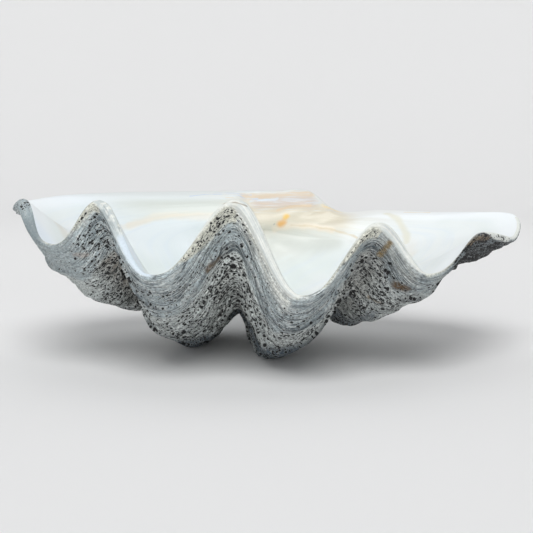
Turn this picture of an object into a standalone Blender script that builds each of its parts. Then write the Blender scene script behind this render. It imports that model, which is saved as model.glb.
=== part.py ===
"""One valve of a giant clam, lying on the bellies of its ribs with its hollow side up.

Metres, +Z up. The front margin, with its deep folds, faces -Y, the hinge is at the back, and +X is
to the right as seen from the front. The origin is on the ground under the middle of the valve.

A shell grows at its margin: each growth stage is the margin of a younger shell, smaller and turned
down about the hinge. So the outside is the margin curve, shrunk towards the umbo and turned about
the X axis through it, with a ledge wherever growth paused. Folds that rise at the margin are the
grooves of the outside, and folds that dip are its ribs.
"""

import bmesh
import bpy
import numpy as np
from mathutils import Vector, noise

MM = 0.001

# The margin, seen from above and going round from the middle of the front to the right.
# Each point is a name, its place x and y, the level of the shell there without its folds, how far
# the fold lifts or drops it, and how thick the margin is. The last two are how far the outside
# leans to the right and how far it is lifted, half way from the margin to the umbo. Millimetres.
MARGIN = [
    ("groove 2", -34, -198, 128, 48, 8, 0, 10),
    ("rib 3", 36, -204, 126, -47, 5, -16, 5),
    ("groove 3", 117, -176, 121, 28, 9, 0, 8),
    ("rib 4", 176, -152, 118, -24, 5, -4, 18),
    ("groove 4", 238, -92, 122, 8, 6, -3, 12),
    ("rib 5", 291, -12, 126, -9, 6, -6, 14),
    ("right tip", 303, 60, 131, 4, 8, -3, 5),
    ("right back", 262, 108, 138, 0, 16, 0, 0),
    ("back right", 209, 140, 136, 0, 22, 0, 0),
    ("back right 2", 148, 166, 136, 0, 27, 0, 0),
    ("hinge step foot", 78, 183, 141, 0, 30, 0, 0),
    ("hinge step top", 60, 186, 156, 0, 30, 0, 0),
    ("hinge", 10, 190, 158, 0, 31, 0, 0),
    ("hinge left", -50, 190, 158, 0, 30, 0, 0),
    ("back left", -110, 182, 158, 0, 28, 0, 0),
    ("back left 2", -185, 160, 159, 0, 23, 0, 0),
    ("left back", -257, 118, 158, 0, 17, 0, 0),
    ("rib 0", -304, 45, 151, -3, 13, 0, 0),
    ("left tip", -290, -16, 147, 9, 14, 0, 0),
    ("rib 1", -240, -106, 140, -19, 5, -6, 5),
    ("groove 1", -183, -146, 138, 33, 8, 0, 0),
    ("rib 2", -124, -184, 132, -34, 5, -6, 4),
]
# How round a rib is at the margin: 1 is an even wave, more is a broad rib between narrow grooves
ROUND_RIBS = {"rib 1": 1.45, "rib 2": 1.28, "rib 3": 1.20, "rib 4": 1.22}
# On the right flank of a groove the margin is thicker, and on the left thinner, by up to this share
FLANK_THICKEN = 0.35
# The fold's slope along the margin that counts as a full flank
FULL_FLANK = 0.9

# The level of the ground and the middle of the valve, in the frame of the margin's points
GROUND = -0.0205
MIDDLE = (0.0008, 0.0060)

# The outside: the umbo, how far the shell turns on its way there, and how the stages are spread
UMBO = np.array([-0.030, 0.205, 0.128])
OUTER_TURN = np.radians(150)
OUTER_BEND = 0.49
OUTER_FLANK_BEND = 0.07
OUTER_WIDEN = 0.78
GROOVE_SWELL = 0.60
RIB_SWELL = -0.05
FOLD_FADE = 0.12
YOUNGEST = 0.05

# The inside: the centre of the bowl, under the hinge plate, and the same measures
BOWL_CENTRE = np.array([-0.022, 0.150, 0.112])
INNER_TURN = np.radians(115)
INNER_BEND = 0.50
INNER_FLANK_BEND = 0.05
INNER_WIDEN = 0.75
INNER_SWELL = 0.95
INNER_FOLD_START = 0.28
INNER_FOLD_POWER = 1.15
INNER_LEAN = 0.4

# The side reach at which the flanks have their full spread of stages
FLANK_REACH = 0.30

# How much the waves along a row are damped at the centre, outside and inside
OUTER_SOFTEN = 0.035
INNER_SOFTEN = 0.120

# The belly under rib 2, the second place that the valve rests on
BELLY_AT = (-0.088, 0.112)
BELLY_REACH = (0.046, 0.060)
BELLY_DROP = 0.016
BELLY_TOP = 0.080

# Growth ledges: the stage of each, and how far the older shell stands proud of the newer there
LEDGES = [
    (0.905, 0.0034),
    (0.780, 0.0042),
    (0.640, 0.0034),
    (0.510, 0.0030),
    (0.390, 0.0026),
    (0.280, 0.0020),
]
LEDGE_STEP = 0.012
LUMP_HEIGHT = 0.004
LUMP_SIZE = 0.045
LUMP_START = 0.10
# Ledges and lumps fade out between these distances from the turning axis
RELIEF_FADE = (0.050, 0.170)
# How far along the growth, as a share, the direction of growth is taken
NEARBY = 0.01

# The rim: how far its middle stands up, and the hinge plate, which lies level behind these places
RIM_CROWN = 0.003
PLATE_Y = (0.04, 0.15)
PLATE_SLOPE = 0.15
BLOCK_X = (-0.022, 0.062)
BLOCK_FADE = 0.020
BLOCK_HEIGHT = 0.013

# Mesh sizes: columns round the margin and how much fewer the plain back gets, rows to each ledge,
# below the last one and over the inside
COLUMNS = 122
BACK_SPARING = 0.40
LEDGE_ROWS = 3
UMBO_ROWS = 6
INNER_ROWS = 14
CURVE_POINTS = 6000

SHELL_COLOUR = (0.34, 0.37, 0.37, 1.0)
SHELL_ROUGHNESS = 0.7


def smooth(value, low, high):
    """0 below low, 1 above high, and a smooth rise between them."""
    f = np.clip((value - low) / (high - low), 0, 1)
    return f * f * (3 - 2 * f)


def margin_curve(count):
    """Points along the margin with the seven measures of the table, in metres, fewer at the back."""
    points = np.array([row[1:] for row in MARGIN]) * MM
    after = np.roll(points, -1, 0) - points
    chord = np.linalg.norm(after[:, :2], axis=1)[:, None]
    rate = after / chord
    rate_before = np.roll(rate, 1, 0)
    chord_before = np.roll(chord, 1, 0)
    slope = (rate_before * chord + rate * chord_before) / (chord + chord_before)
    slope[:, 2:][(rate_before * rate <= 0)[:, 2:]] = 0
    knots = np.concatenate([[0], np.cumsum(chord)])
    place = np.linspace(0, knots[-1], CURVE_POINTS, endpoint=False)
    part = np.searchsorted(knots, place, side="right") - 1
    following = (part + 1) % len(points)
    span = chord[part]
    f = (place - knots[part])[:, None] / span
    curve = (2 * f**3 - 3 * f**2 + 1) * points[part]
    curve += (f**3 - 2 * f**2 + f) * slope[part] * span
    curve += (3 * f**2 - 2 * f**3) * points[following]
    curve += (f**3 - f**2) * slope[following] * span
    round_rib = np.array([ROUND_RIBS.get(row[0], 1.0) for row in MARGIN])
    rising = points[following, 3] > points[part, 3]
    power = np.where(rising, round_rib[part], round_rib[following])
    share = np.where(rising, f[:, 0] ** power, 1 - (1 - f[:, 0]) ** power)
    change = points[following, 3] - points[part, 3]
    curve[:, 3] = points[part, 3] + change * smooth(share, 0, 1)
    spot = curve[:, :3].copy()
    spot[:, 2] += curve[:, 3]
    step = np.linalg.norm(np.roll(spot, -1, 0) - spot, axis=1)
    step *= 1 - BACK_SPARING * smooth(spot[:, 1], *PLATE_Y)
    length = np.concatenate([[0], np.cumsum(step)])
    wanted = np.linspace(0, length[-1], count, endpoint=False)
    closed = np.vstack([curve, curve[:1]])
    return np.stack([np.interp(wanted, length, column) for column in closed.T], 1)


def unit(vectors):
    return vectors / np.linalg.norm(vectors, axis=1)[:, None]


def mid_growth(stage):
    """0 at the margin and at the umbo, 1 half way between."""
    return 4 * stage * (1 - stage)


def grow(loop, stage, centre, turn, bend, flank_bend, widen, folds):
    """The loop at an earlier growth stage, from 1 at the margin to 0 at the centre."""
    rel = loop[:, :3] - centre
    rel[:, 2] += loop[:, 3] * folds
    radius = np.hypot(rel[:, 1], rel[:, 2]) * stage
    start = np.arctan2(-rel[:, 2], -rel[:, 1])
    side = np.minimum(1, np.abs(rel[:, 0]) / FLANK_REACH)
    angle = start + turn * (1 - stage ** (bend - flank_bend * side**2))
    x = rel[:, 0] * stage**widen
    return centre + np.stack([x, -radius * np.cos(angle), -radius * np.sin(angle)], 1)


def soften(row, stage, amount):
    """The row with its waves along the loop damped, short ones most, and more to the centre."""
    waves = np.fft.rfft(row, axis=0)
    number = np.arange(len(waves))[:, None]
    damping = np.exp(-(number * amount * (1 - stage) ** 2) ** 2)
    return np.fft.irfft(waves * damping, len(row), axis=0)


def outer_row(loop, stage):
    """The smooth outside at one growth stage, with the belly under rib 2."""
    swell = np.where(loop[:, 3] > 0, GROOVE_SWELL, RIB_SWELL)
    folds = (1 + swell * mid_growth(stage)) * min(1, stage / FOLD_FADE)
    row = grow(loop, stage, UMBO, OUTER_TURN, OUTER_BEND, OUTER_FLANK_BEND, OUTER_WIDEN, folds)
    row[:, 0] += loop[:, 5] * mid_growth(stage)
    row[:, 2] += loop[:, 6] * mid_growth(stage)
    row = soften(row, stage, OUTER_SOFTEN)
    across = (row[:, 0] - BELLY_AT[0]) / BELLY_REACH[0]
    along = (row[:, 1] - BELLY_AT[1]) / BELLY_REACH[1]
    low = np.clip(1 - row[:, 2] / BELLY_TOP, 0, 1)
    row[:, 2] -= BELLY_DROP * np.exp(-across**2 - along**2) * low
    return row


def inner_row(loop, stage):
    """The inside at one stage; the folds fade out on the way to the centre."""
    fade = np.clip((stage - INNER_FOLD_START) / (1 - INNER_FOLD_START), 0, 1) ** INNER_FOLD_POWER
    folds = fade * (1 + np.where(loop[:, 3] > 0, INNER_SWELL, 0) * mid_growth(stage))
    row = grow(loop, stage, BOWL_CENTRE, INNER_TURN, INNER_BEND, INNER_FLANK_BEND, INNER_WIDEN, folds)
    row[:, 0] += INNER_LEAN * loop[:, 5] * mid_growth(stage)
    row[:, 2] += loop[:, 6] * mid_growth(stage)
    return soften(row, stage, INNER_SOFTEN)


def outer_stages():
    """Growth stages of the outside's rows, with two rows at each ledge."""
    stages = []
    newer = 1.0
    for edge, _ in LEDGES:
        stages += list(np.linspace(newer, edge + LEDGE_STEP / 2, LEDGE_ROWS))
        newer = edge - LEDGE_STEP / 2
    return stages + list(np.linspace(newer, YOUNGEST, UMBO_ROWS))


def ledge_height(stage):
    """How far the outside stands out: each band rises to its newer edge and ends there in a step."""
    edges = [1.0] + [edge for edge, _ in LEDGES] + [0.0]
    heights = [0.0] + [height for _, height in LEDGES]
    for newer, older, height in zip(edges, edges[1:], heights):
        if stage > older:
            return height * ((stage - older) / (newer - older)) ** 2
    return 0.0


def outer_rows(loop):
    """The outside with its ledges and lumps, from the margin to the umbo."""
    rows = []
    for stage in outer_stages():
        row = outer_row(loop, stage)
        along = np.roll(row, -1, 0) - np.roll(row, 1, 0)
        newer = outer_row(loop, stage * (1 + NEARBY)) - row
        outward = unit(np.cross(along, newer))
        lump = np.array([noise.noise(Vector(point / LUMP_SIZE)) for point in row])
        lift = lump * LUMP_HEIGHT * min(1, (1 - stage) / LUMP_START) + ledge_height(stage)
        lift *= smooth(np.hypot(*(row - UMBO)[:, 1:].T), *RELIEF_FADE)
        rows.append(row + outward * lift[:, None])
    return rows


def flank_slope(loop):
    """The fold's slope along the margin: 1 on a full right flank of a groove, -1 on a left one."""
    step = np.roll(loop[:, :2], -1, 0) - np.roll(loop[:, :2], 1, 0)
    rise = np.roll(loop[:, 3], -1) - np.roll(loop[:, 3], 1)
    return np.clip(-rise / np.linalg.norm(step, axis=1) / FULL_FLANK, -1, 1)


def rim_rows(loop):
    """The crowned middle of the rim and its inner edge, which the hinge plate widens at the back."""
    edge = outer_row(loop, 1.0)
    along = np.roll(edge, -1, 0) - np.roll(edge, 1, 0)
    newer = unit(edge - outer_row(loop, 1 - NEARBY))
    inward = unit(np.cross(newer, along))
    plate = smooth(loop[:, 1], *PLATE_Y)[:, None]
    level = np.array([[0.0, -1.0, -PLATE_SLOPE]])
    across = unit(inward * (1 - plate) + level * plate)
    width = loop[:, 4:5] * (1 + FLANK_THICKEN * flank_slope(loop)[:, None])
    block = smooth(loop[:, 0], BLOCK_X[0] - BLOCK_FADE, BLOCK_X[0])
    block = block * (1 - smooth(loop[:, 0], BLOCK_X[1], BLOCK_X[1] + BLOCK_FADE)) * plate[:, 0]
    middle = edge + across * width / 2 + newer * RIM_CROWN
    inner = edge + across * width
    inner[:, 2] -= BLOCK_HEIGHT * block
    return middle, inner


def inner_rows(loop, inner_edge):
    """The inside, from the rim's inner edge to the bottom of the bowl."""
    inner_loop = loop.copy()
    inner_loop[:, :3] = inner_edge
    inner_loop[:, 2] -= loop[:, 3]
    stages = np.linspace(1, YOUNGEST, INNER_ROWS)
    return [inner_row(inner_loop, stage) for stage in stages]


def valve_points(loop):
    """All rows of the closed surface, from the umbo over the margin to the bottom of the bowl."""
    middle, inner_edge = rim_rows(loop)
    rows = outer_rows(loop)[::-1] + [middle] + inner_rows(loop, inner_edge)
    rows = np.array(rows)
    rows[:, :, 2] = np.maximum(rows[:, :, 2], GROUND)
    return rows - np.array([MIDDLE[0], MIDDLE[1], GROUND])


def build_valve():
    """One closed mesh: a grid of rows and columns, capped at the umbo and in the bowl."""
    rows = valve_points(margin_curve(COLUMNS))
    mesh = bmesh.new()
    grid = [[mesh.verts.new(point) for point in row] for row in rows]
    umbo = mesh.verts.new(rows[0].mean(0))
    bowl = mesh.verts.new(rows[-1].mean(0))
    for i in range(COLUMNS):
        j = (i + 1) % COLUMNS
        mesh.faces.new((umbo, grid[0][j], grid[0][i]))
        mesh.faces.new((bowl, grid[-1][i], grid[-1][j]))
        for lower, upper in zip(grid, grid[1:]):
            mesh.faces.new((lower[i], lower[j], upper[j], upper[i]))
    bmesh.ops.triangulate(mesh, faces=mesh.faces[:])
    data = bpy.data.meshes.new("clam_shell")
    mesh.to_mesh(data)
    mesh.free()
    data.shade_smooth()
    return data


def shell_material():
    material = bpy.data.materials.new("shell")
    material.use_nodes = True
    shader = material.node_tree.nodes["Principled BSDF"]
    shader.inputs["Base Color"].default_value = SHELL_COLOUR
    shader.inputs["Roughness"].default_value = SHELL_ROUGHNESS
    shader.inputs["Metallic"].default_value = 0.0
    return material


def main():
    for item in list(bpy.data.objects):
        bpy.data.objects.remove(item)
    valve = bpy.data.objects.new("clam_shell", build_valve())
    valve.data.materials.append(shell_material())
    bpy.context.scene.collection.objects.link(valve)


main()
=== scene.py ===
"""The finished look of one valve of a giant clam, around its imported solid.

One closed mesh takes the place of the plain solid. It is grown as the solid is, from the same
margin and by the same rules, with more rows and columns, fine growth ledges, small lumps and the
larger borings. Metres, +Z up, the front margin to -Y, the ground at 0.
"""

import math

import bpy
import numpy as np
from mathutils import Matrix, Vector, noise


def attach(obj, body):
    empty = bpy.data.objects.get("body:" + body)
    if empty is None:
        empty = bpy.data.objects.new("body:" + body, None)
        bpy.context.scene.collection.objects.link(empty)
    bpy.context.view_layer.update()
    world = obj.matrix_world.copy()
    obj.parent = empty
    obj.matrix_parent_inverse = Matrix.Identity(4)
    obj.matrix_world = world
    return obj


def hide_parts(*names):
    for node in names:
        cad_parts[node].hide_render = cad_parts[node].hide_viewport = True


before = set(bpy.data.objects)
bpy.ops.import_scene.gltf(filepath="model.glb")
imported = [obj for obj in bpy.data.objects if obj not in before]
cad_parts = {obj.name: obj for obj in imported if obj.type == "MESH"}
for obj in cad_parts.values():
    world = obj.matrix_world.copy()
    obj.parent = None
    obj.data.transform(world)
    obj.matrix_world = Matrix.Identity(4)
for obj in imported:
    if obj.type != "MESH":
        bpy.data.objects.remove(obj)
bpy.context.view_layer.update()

MM = 0.001

# The margin, seen from above and going round from the middle of the front to the right.
# Each point is a name, its place x and y, the level of the shell there without its folds, how far
# the fold lifts or drops it, and how thick the margin is. The last two are how far the outside
# leans to the right and how far it is lifted, half way from the margin to the umbo. Millimetres.
MARGIN = [
    ("groove 2", -34, -198, 128, 48, 8, 0, 10),
    ("rib 3", 36, -204, 126, -47, 5, -16, 5),
    ("groove 3", 117, -176, 121, 28, 9, 0, 8),
    ("rib 4", 176, -152, 118, -24, 5, -4, 18),
    ("groove 4", 238, -92, 122, 8, 6, -3, 12),
    ("rib 5", 291, -12, 126, -9, 6, -6, 14),
    ("right tip", 303, 60, 131, 4, 8, -3, 5),
    ("right back", 262, 108, 138, 0, 16, 0, 0),
    ("back right", 209, 140, 136, 0, 22, 0, 0),
    ("back right 2", 148, 166, 136, 0, 27, 0, 0),
    ("hinge step foot", 78, 183, 141, 0, 30, 0, 0),
    ("hinge step top", 60, 186, 156, 0, 30, 0, 0),
    ("hinge", 10, 190, 158, 0, 31, 0, 0),
    ("hinge left", -50, 190, 158, 0, 30, 0, 0),
    ("back left", -110, 182, 158, 0, 28, 0, 0),
    ("back left 2", -185, 160, 159, 0, 23, 0, 0),
    ("left back", -257, 118, 158, 0, 17, 0, 0),
    ("rib 0", -304, 45, 151, -3, 13, 0, 0),
    ("left tip", -290, -16, 147, 9, 14, 0, 0),
    ("rib 1", -240, -106, 140, -19, 5, -6, 5),
    ("groove 1", -183, -146, 138, 33, 8, 0, 0),
    ("rib 2", -124, -184, 132, -34, 5, -6, 4),
]
# How round a rib is at the margin: 1 is an even wave, more is a broad rib between narrow grooves
ROUND_RIBS = {"rib 1": 1.45, "rib 2": 1.28, "rib 3": 1.20, "rib 4": 1.22}
# On the right flank of a groove the margin is thicker, and on the left thinner, by up to this share
FLANK_THICKEN = 0.35
# The fold's slope along the margin that counts as a full flank
FULL_FLANK = 0.9

# The level of the ground and the middle of the valve, in the frame of the margin's points
GROUND = -0.0205
MIDDLE = (0.0008, 0.0060)

# The outside: the umbo, how far the shell turns on its way there, and how the stages are spread
UMBO = np.array([-0.030, 0.205, 0.128])
OUTER_TURN = np.radians(150)
OUTER_BEND = 0.49
OUTER_FLANK_BEND = 0.07
OUTER_WIDEN = 0.78
GROOVE_SWELL = 0.60
RIB_SWELL = -0.05
FOLD_FADE = 0.12
YOUNGEST = 0.05

# The inside: the centre of the bowl, under the hinge plate, and the same measures
BOWL_CENTRE = np.array([-0.022, 0.150, 0.112])
INNER_TURN = np.radians(115)
INNER_BEND = 0.50
INNER_FLANK_BEND = 0.05
INNER_WIDEN = 0.75
INNER_SWELL = 0.95
INNER_FOLD_START = 0.28
INNER_FOLD_POWER = 1.15
INNER_LEAN = 0.4

# The side reach at which the flanks have their full spread of stages
FLANK_REACH = 0.30

# How much the waves along a row are damped at the centre, outside and inside
OUTER_SOFTEN = 0.035
INNER_SOFTEN = 0.120

# The belly under rib 2, the second place that the valve rests on
BELLY_AT = (-0.088, 0.112)
BELLY_REACH = (0.046, 0.060)
BELLY_DROP = 0.016
BELLY_TOP = 0.080

# The main growth ledges: the stage of each, and how far the older shell stands proud there
LEDGES = [
    (0.905, 0.0034),
    (0.780, 0.0042),
    (0.640, 0.0034),
    (0.510, 0.0030),
    (0.390, 0.0026),
    (0.280, 0.0020),
]
LUMP_HEIGHT = 0.004
LUMP_SIZE = 0.045
LUMP_START = 0.10
RELIEF_FADE = (0.050, 0.170)
NEARBY = 0.01

# The rim: how far its middle stands up, and the hinge plate, which lies level behind these places
RIM_CROWN = 0.003
PLATE_Y = (0.04, 0.15)
PLATE_SLOPE = 0.15
BLOCK_X = (-0.022, 0.062)
BLOCK_FADE = 0.020
BLOCK_HEIGHT = 0.013
BACK_SPARING = 0.40
CURVE_POINTS = 6000

# The finer growth ledges between the main ones: where they start and end, how far apart they are
# at the margin and how much further towards the umbo, and how high they are
FINE_FIRST = 0.984
FINE_LAST = 0.16
FINE_GAP = 0.017
FINE_SPREAD = 1.6
FINE_CLEAR = 0.007
FINE_HEIGHT = 0.0011
LEDGE_SEED = 7
LEDGE_STEP = 0.0024
# Along a ledge its height comes and goes, and on the ribs it is higher
UNEVEN_SIZE = 0.050
UNEVEN_MAIN = 0.8
UNEVEN_FINE = 1.5
RIB_FOLD = 0.030
RIB_LEDGES = 0.2
# Rows wander a little from an even growth stage
WANDER = 0.011
WANDER_SIZE = 0.070
WANDER_START = 0.06

# Lumps smaller than the solid's: the size and height of each kind
SMALL_LUMPS = [(0.018, 0.0013), (0.008, 0.0006)]

# Borings large enough to be shaped: the points of each and the direction out of the shell there,
# in millimetres, then the radius and the depth
BORINGS = [
    ("groove 2, the round one", [(-37, -133, 123)], (0.0, -0.99, 0.14), 3.3, 5.0),
    ("groove 2, above it", [(-37, -146, 132), (-28, -146, 130)], (0.0, -0.95, -0.31), 1.5, 3.5),
    ("groove 1, by the flank", [(-163, -71, 108), (-162, -66, 104), (-161, -61, 101)],
     (0.36, -0.54, -0.76), 3.0, 6.0),
    ("rib 3, the slot", [(-2, -161, 80), (-1, -158, 74)], (-0.60, -0.70, -0.38), 1.7, 4.0),
    ("groove 3, upper", [(132, -150, 130)], (-0.20, -0.90, -0.38), 2.0, 4.5),
    ("groove 3, lower", [(128, -141, 120), (131, -141, 118)], (-0.20, -0.90, -0.38), 1.8, 4.5),
]
# Smaller ones, only coloured: how wide those of each part of the shell are, and where they lie
SMALL_BORINGS = [
    (1.5, [(-42, -150, 137), (-49, -156, 136), (-46, -143, 127), (-52, -131, 113), (-43, -159, 146)]),
    (1.2, [(-40, -196, 185), (-31, -198, 186), (-55, -191, 168), (-46, -183, 168), (-30, -178, 162)]),
    (1.2, [(-25, -195, 176), (-22, -196, 170), (-18, -192, 155), (-52, -200, 183), (-58, -202, 178)]),
    (1.5, [(-186, -138, 179), (-190, -136, 176), (-199, -140, 178), (-193, -128, 163)]),
    (1.5, [(-200, -127, 157), (-192, -117, 147), (-212, -111, 129), (-176, -61, 97)]),
    (1.8, [(-161, -38, 85), (-170, -40, 79), (-182, -77, 108), (-171, -88, 121)]),
    (1.4, [(115, -146, 134), (108, -124, 112), (128, -139, 112), (137, -145, 112), (104, -186, 163)]),
    (1.6, [(26, -174, 69), (39, -171, 70), (37, -152, 55), (47, -160, 66), (33, -163, 63)]),
    (1.5, [(-107, -111, 50), (-113, -124, 62), (-88, -82, 41)]),
]
# How far along that direction a boring is looked for, on either side of the point
BORING_REACH = 7.0
# How much shorter a small boring's distances count from front to back, so that it reaches the surface
BORING_SQUEEZE = 0.4

# Mesh sizes: columns, the space between rows in growth stages, and rows round the rim and inside
COLUMNS = 640
ROW_GAP = 0.0062
RIM_ANGLES = (30, 65, 100, 135, 160)
INNER_ROWS = 30
FULL_INNER_ROWS = 3

# The length of growth from the margin to the umbo, along a groove
GROWTH_LENGTH = 0.54
# The growth counted across the rim
RIM_GROWTH = 0.008
# Behind this place the rim is porcelain like the inside
PORCELAIN_RIM_Y = 0.050
# The fold height that counts as a full groove
FULL_FOLD = 0.036


def smooth(value, low, high):
    """0 below low, 1 above high, and a smooth rise between them."""
    f = np.clip((value - low) / (high - low), 0, 1)
    return f * f * (3 - 2 * f)


def unit(vectors):
    return vectors / np.linalg.norm(vectors, axis=1)[:, None]


def noise_at(points, size):
    """Smooth noise from about -1 to 1 at the points, in waves of that size."""
    return np.array([noise.noise(Vector(point)) for point in points / size])


def margin_curve(count):
    """Points along the margin with the seven measures of the table, in metres, fewer at the back."""
    points = np.array([row[1:] for row in MARGIN]) * MM
    after = np.roll(points, -1, 0) - points
    chord = np.linalg.norm(after[:, :2], axis=1)[:, None]
    rate = after / chord
    rate_before = np.roll(rate, 1, 0)
    chord_before = np.roll(chord, 1, 0)
    slope = (rate_before * chord + rate * chord_before) / (chord + chord_before)
    slope[:, 2:][(rate_before * rate <= 0)[:, 2:]] = 0
    knots = np.concatenate([[0], np.cumsum(chord)])
    place = np.linspace(0, knots[-1], CURVE_POINTS, endpoint=False)
    part = np.searchsorted(knots, place, side="right") - 1
    following = (part + 1) % len(points)
    span = chord[part]
    f = (place - knots[part])[:, None] / span
    curve = (2 * f**3 - 3 * f**2 + 1) * points[part]
    curve += (f**3 - 2 * f**2 + f) * slope[part] * span
    curve += (3 * f**2 - 2 * f**3) * points[following]
    curve += (f**3 - f**2) * slope[following] * span
    round_rib = np.array([ROUND_RIBS.get(row[0], 1.0) for row in MARGIN])
    rising = points[following, 3] > points[part, 3]
    power = np.where(rising, round_rib[part], round_rib[following])
    share = np.where(rising, f[:, 0] ** power, 1 - (1 - f[:, 0]) ** power)
    change = points[following, 3] - points[part, 3]
    curve[:, 3] = points[part, 3] + change * smooth(share, 0, 1)
    spot = curve[:, :3].copy()
    spot[:, 2] += curve[:, 3]
    step = np.linalg.norm(np.roll(spot, -1, 0) - spot, axis=1)
    step *= 1 - BACK_SPARING * smooth(spot[:, 1], *PLATE_Y)
    length = np.concatenate([[0], np.cumsum(step)])
    wanted = np.linspace(0, length[-1], count, endpoint=False)
    closed = np.vstack([curve, curve[:1]])
    return np.stack([np.interp(wanted, length, column) for column in closed.T], 1)


def mid_growth(stage):
    """0 at the margin and at the umbo, 1 half way between."""
    return 4 * stage * (1 - stage)


def grow(loop, stage, centre, turn, bend, flank_bend, widen, folds):
    """The loop at an earlier growth stage, from 1 at the margin to 0 at the centre."""
    rel = loop[:, :3] - centre
    rel[:, 2] += loop[:, 3] * folds
    radius = np.hypot(rel[:, 1], rel[:, 2]) * stage
    start = np.arctan2(-rel[:, 2], -rel[:, 1])
    side = np.minimum(1, np.abs(rel[:, 0]) / FLANK_REACH)
    angle = start + turn * (1 - stage ** (bend - flank_bend * side**2))
    x = rel[:, 0] * stage**widen
    return centre + np.stack([x, -radius * np.cos(angle), -radius * np.sin(angle)], 1)


def soften(row, stage, amount):
    """The row with its waves along the loop damped, short ones most, and more to the centre."""
    waves = np.fft.rfft(row, axis=0)
    number = np.arange(len(waves))[:, None]
    damping = np.exp(-(number * amount * (1 - np.mean(stage)) ** 2) ** 2)
    return np.fft.irfft(waves * damping, len(row), axis=0)


def outer_row(loop, stage):
    """The smooth outside at one growth stage, or at one for each point, with the belly."""
    swell = np.where(loop[:, 3] > 0, GROOVE_SWELL, RIB_SWELL)
    folds = (1 + swell * mid_growth(stage)) * np.minimum(1, stage / FOLD_FADE)
    row = grow(loop, stage, UMBO, OUTER_TURN, OUTER_BEND, OUTER_FLANK_BEND, OUTER_WIDEN, folds)
    row[:, 0] += loop[:, 5] * mid_growth(stage)
    row[:, 2] += loop[:, 6] * mid_growth(stage)
    row = soften(row, stage, OUTER_SOFTEN)
    across = (row[:, 0] - BELLY_AT[0]) / BELLY_REACH[0]
    along = (row[:, 1] - BELLY_AT[1]) / BELLY_REACH[1]
    low = np.clip(1 - row[:, 2] / BELLY_TOP, 0, 1)
    row[:, 2] -= BELLY_DROP * np.exp(-across**2 - along**2) * low
    return row


def inner_row(loop, stage):
    """The inside at one stage; the folds fade out on the way to the centre."""
    fade = np.clip((stage - INNER_FOLD_START) / (1 - INNER_FOLD_START), 0, 1) ** INNER_FOLD_POWER
    folds = fade * (1 + np.where(loop[:, 3] > 0, INNER_SWELL, 0) * mid_growth(stage))
    row = grow(loop, stage, BOWL_CENTRE, INNER_TURN, INNER_BEND, INNER_FLANK_BEND, INNER_WIDEN, folds)
    row[:, 0] += INNER_LEAN * loop[:, 5] * mid_growth(stage)
    row[:, 2] += loop[:, 6] * mid_growth(stage)
    return soften(row, stage, INNER_SOFTEN)


def fine_ledges():
    """The finer ledges, kept clear of the main ones: the stage and the height of each."""
    chance = np.random.default_rng(LEDGE_SEED)
    ledges = []
    stage = FINE_FIRST
    while stage > FINE_LAST:
        height = FINE_HEIGHT * chance.uniform(0.4, 1.4)
        if min(abs(stage - edge) for edge, _ in LEDGES) > FINE_CLEAR:
            ledges.append((stage, height))
        stage -= FINE_GAP * (1 + FINE_SPREAD * (1 - stage)) * chance.uniform(0.6, 1.4)
    return ledges


def outer_stages(edges):
    """Growth stages of the outside's rows, with two rows close together at each ledge."""
    stages = [1.0]
    for edge in sorted(edges, reverse=True):
        upper = edge + LEDGE_STEP / 2
        gap = ROW_GAP * (1 + FINE_SPREAD * (1 - edge))
        count = max(1, round((stages[-1] - upper) / gap))
        stages += list(np.linspace(stages[-1], upper, count + 1)[1:])
        stages.append(edge - LEDGE_STEP / 2)
    gap = ROW_GAP * (1 + FINE_SPREAD)
    count = round((stages[-1] - YOUNGEST) / gap)
    return stages + list(np.linspace(stages[-1], YOUNGEST, count + 1)[1:])


def band_lift(loop, stage, ledges, uneven):
    """How far a band of growth stands out: it rises to its newer edge and ends there in a step."""
    bands = [(1.0, 0.0)] + ledges + [(0.0, 0.0)]
    for (newer, height), (older, _) in zip(bands, bands[1:]):
        if stage > older:
            break
    share = ((stage - older) / (newer - older)) ** 2
    place = np.column_stack([loop[:, :2], np.full(len(loop), newer)])
    coming = 1 + uneven * noise_at(place, UNEVEN_SIZE)
    ribs = 1 + RIB_LEDGES * np.clip(-loop[:, 3] / RIB_FOLD, 0, 1)
    return height * share * np.clip(coming, 0, 2) * ribs


def boring_lines():
    """Each boring as short lines through the surface: two ends in metres, the radius and the depth."""
    lines = []
    for _, points, out, radius, deep in BORINGS:
        for point in points:
            ends = [(Vector(point) + Vector(out) * BORING_REACH * side) * MM for side in (-1, 1)]
            lines.append((*ends, radius * MM, deep * MM))
    return lines


def boring_depth(row):
    """How deep the larger borings go at each point of the row."""
    depth = np.zeros(len(row))
    where = row - np.array([MIDDLE[0], MIDDLE[1], GROUND])
    for start, end, radius, deep in boring_lines():
        a, b = np.array(start), np.array(end)
        share = np.clip((where - a) @ (b - a) / np.dot(b - a, b - a), 0, 1)
        distance = np.linalg.norm(where - a - share[:, None] * (b - a), axis=1)
        depth = np.maximum(depth, deep * np.exp(-(distance / radius) ** 4))
    return depth


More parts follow.
